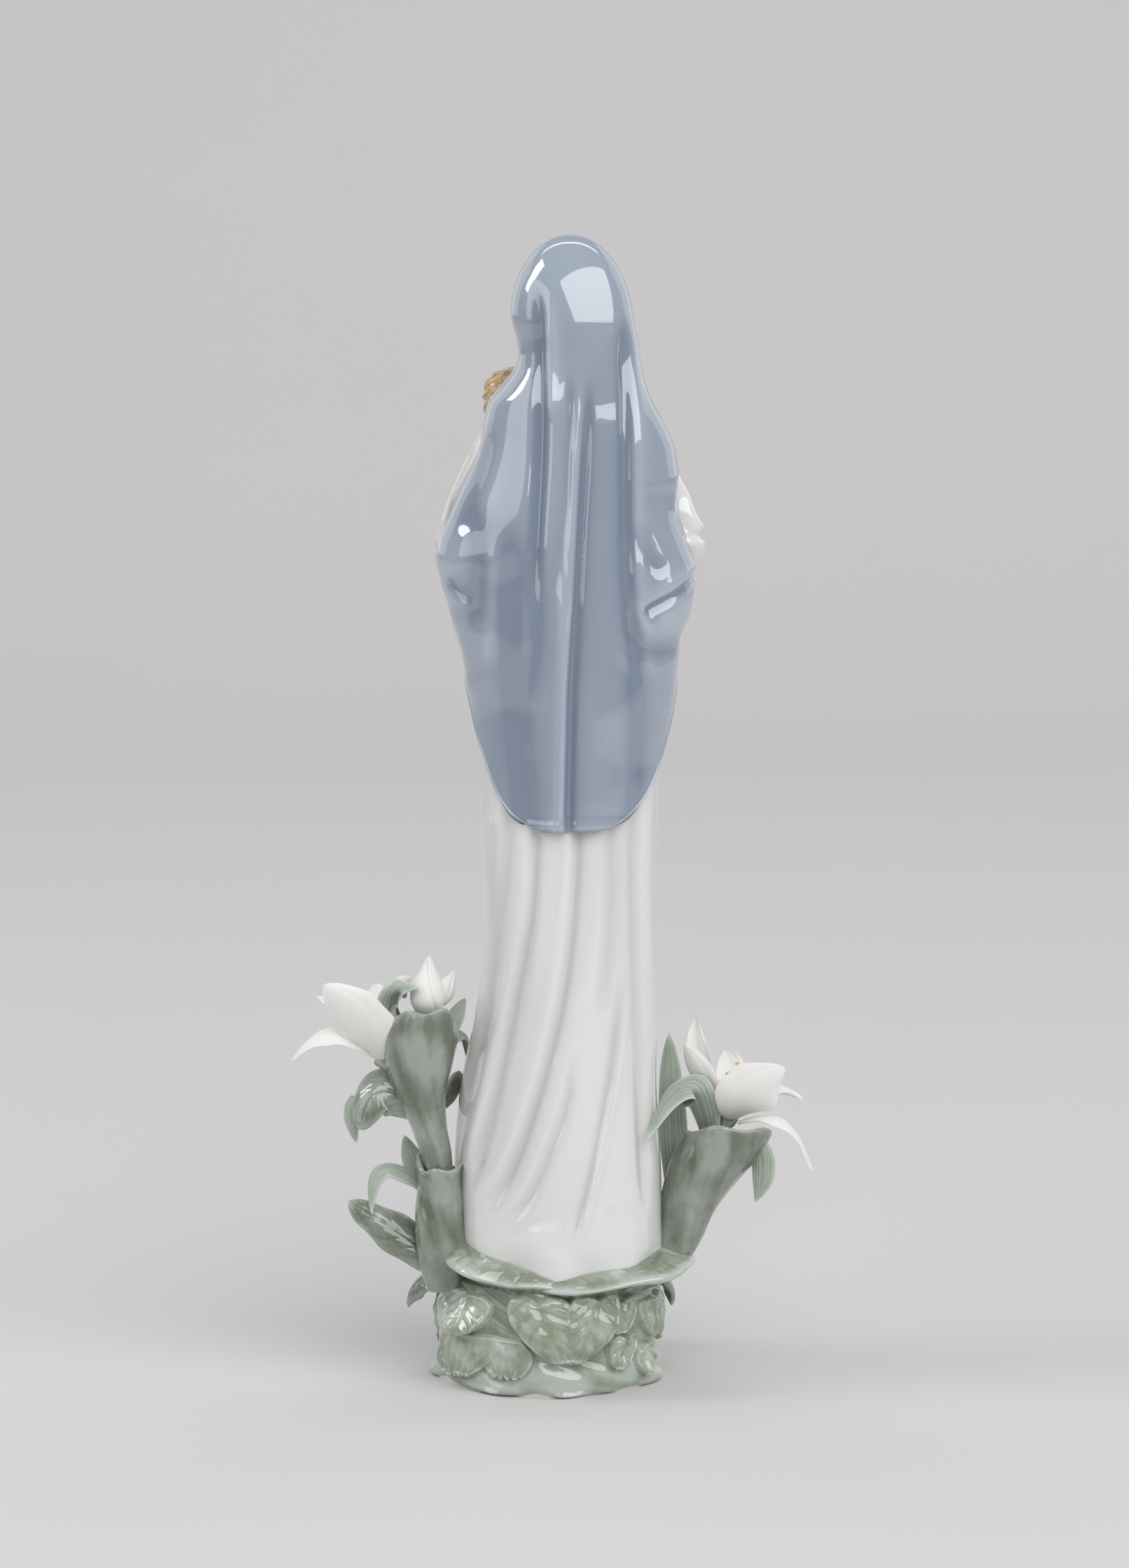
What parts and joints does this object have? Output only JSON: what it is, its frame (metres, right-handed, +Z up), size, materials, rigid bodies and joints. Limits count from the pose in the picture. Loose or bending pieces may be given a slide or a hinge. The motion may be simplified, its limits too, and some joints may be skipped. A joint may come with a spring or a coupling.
{
  "type": "madonna statue",
  "caption": "Standing Madonna in a long dress and veil mantle, holding a child, on a leafy mound with lilies on hollow stalks.",
  "frame": {"origin": "middle of the flat foot on the ground plane, under the figure", "axes": "+Z up, the figure faces -Y, +X is the figure's left side"},
  "size_m": [0.191, 0.0918, 0.419],
  "materials": {
    "bare_foot": "matt unglazed foot",
    "mantle_glaze": "high gloss blue-grey glaze",
    "white_glaze": "high gloss white glaze",
    "skin_glaze": "gloss skin glaze",
    "hair_glaze": "gloss brown glaze",
    "child_hair_glaze": "gloss golden brown glaze",
    "leaf_glaze": "gloss sage green glaze, pale on edges",
    "petal_bisque": "matt white bisque",
    "leaf_bisque": "matt grey-green bisque with fine veins",
    "stamen_bisque": "matt yellow bisque"
  },
  "bodies": {
    "root": {"foot_plate": "bare_foot", "mound": "leaf_glaze", "dress": "white_glaze", "mantle": "mantle_glaze", "head": "skin_glaze", "hair": "hair_glaze", "sleeve_right": "white_glaze", "sleeve_left": "white_glaze", "hand_right": "skin_glaze", "hand_left": "skin_glaze", "child_robe": "white_glaze", "child_head": "skin_glaze", "child_hair": "child_hair_glaze", "child_arms": "skin_glaze", "child_feet": "skin_glaze", "collar_leaf_back_left": "leaf_glaze", "collar_leaf_back_right": "leaf_glaze", "collar_leaf_front_left": "leaf_glaze", "collar_leaf_front_right": "leaf_glaze", "heart_leaf_back_left": "leaf_glaze", "heart_leaf_back_right": "leaf_glaze", "cup_leaf_mound": "leaf_glaze", "fan_leaf_left": "leaf_glaze", "fan_leaf_back": "leaf_glaze", "small_leaves_right": "leaf_glaze", "heart_leaves_front": "leaf_glaze", "fan_leaves_front": "leaf_glaze", "side_leaf_left": "leaf_glaze", "side_leaf_right": "leaf_glaze", "curled_leaf_right": "leaf_glaze", "sheath_left": "leaf_glaze", "stalk_left": "leaf_glaze", "drooping_leaf_left": "leaf_glaze", "lobe_leaf_left": "leaf_glaze", "low_leaf_left": "leaf_glaze", "stalk_right": "leaf_glaze", "lily_left_petals": "petal_bisque", "lily_left_calyx": "leaf_bisque", "lily_left_stamens": "stamen_bisque", "lily_right_petals": "petal_bisque", "lily_right_calyx": "leaf_bisque", "lily_right_stamens": "stamen_bisque", "bud": "petal_bisque", "small_bud": "petal_bisque", "thin_leaf_folded": "leaf_bisque", "thin_leaf_bud": "leaf_bisque", "thin_leaf_inner": "leaf_bisque", "thin_leaf_side_tip": "leaf_bisque", "thin_leaf_low_upright": "leaf_bisque", "thin_leaf_low_arching": "leaf_bisque", "thin_leaf_right_tall": "leaf_bisque", "thin_leaf_right_folded": "leaf_bisque", "thin_leaf_right_hanging": "leaf_bisque"}
  },
  "joints": []
}
